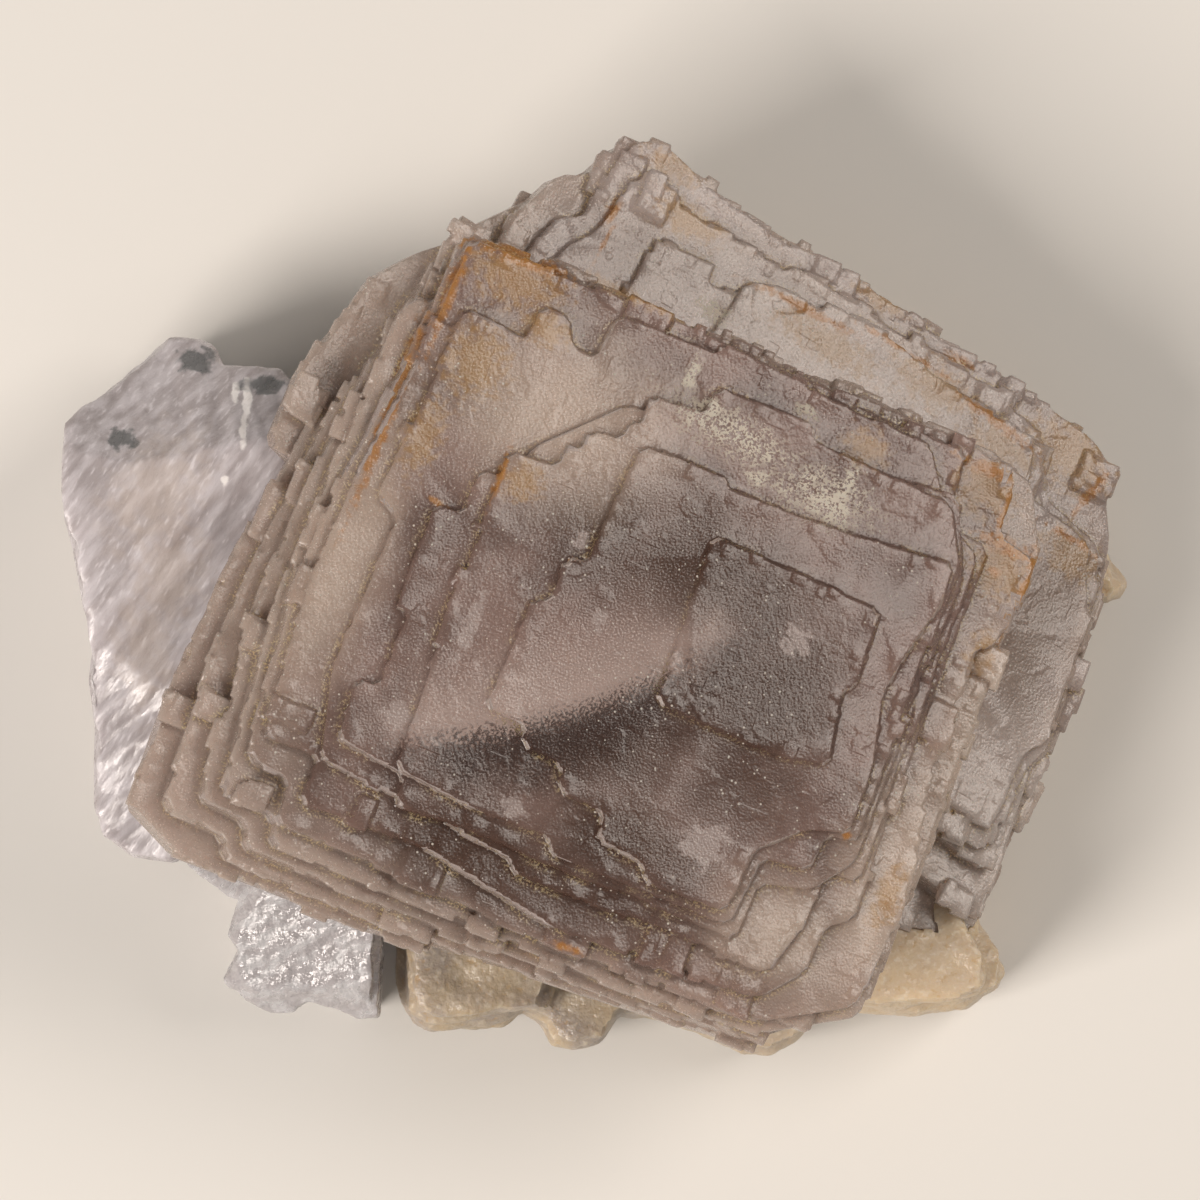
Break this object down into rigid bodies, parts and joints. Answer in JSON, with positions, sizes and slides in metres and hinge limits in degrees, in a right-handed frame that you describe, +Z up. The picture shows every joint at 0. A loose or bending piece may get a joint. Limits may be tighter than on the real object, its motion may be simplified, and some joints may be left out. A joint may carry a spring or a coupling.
{
  "type": "fluorite specimen",
  "caption": "Cabinet mineral specimen of stepped, intergrown fluorite cubes on a honey base with cleaved white calcite, flat underneath, for display on a shelf or in a case.",
  "frame": {"origin": "on the surface the specimen lies on, below the middle of its outline", "axes": "+Z up from the flat underside; +X along the longest side, towards the second cube; +Y towards the second cube's top corner"},
  "size_m": [0.0895, 0.0772, 0.0406],
  "materials": {
    "fluorite": "translucent, satin growth faces with fine steps",
    "white_calcite": "milky, cleaved, streaked with clear windows",
    "clear_calcite": "glassy, clear to cloudy, freshly broken",
    "honey_calcite": "waxy, translucent, broken"
  },
  "bodies": {
    "root": {"fluorite_crystals": "fluorite", "calcite_slab": "white_calcite", "calcite_chunk": "clear_calcite", "honey_matrix": "honey_calcite"}
  },
  "joints": []
}
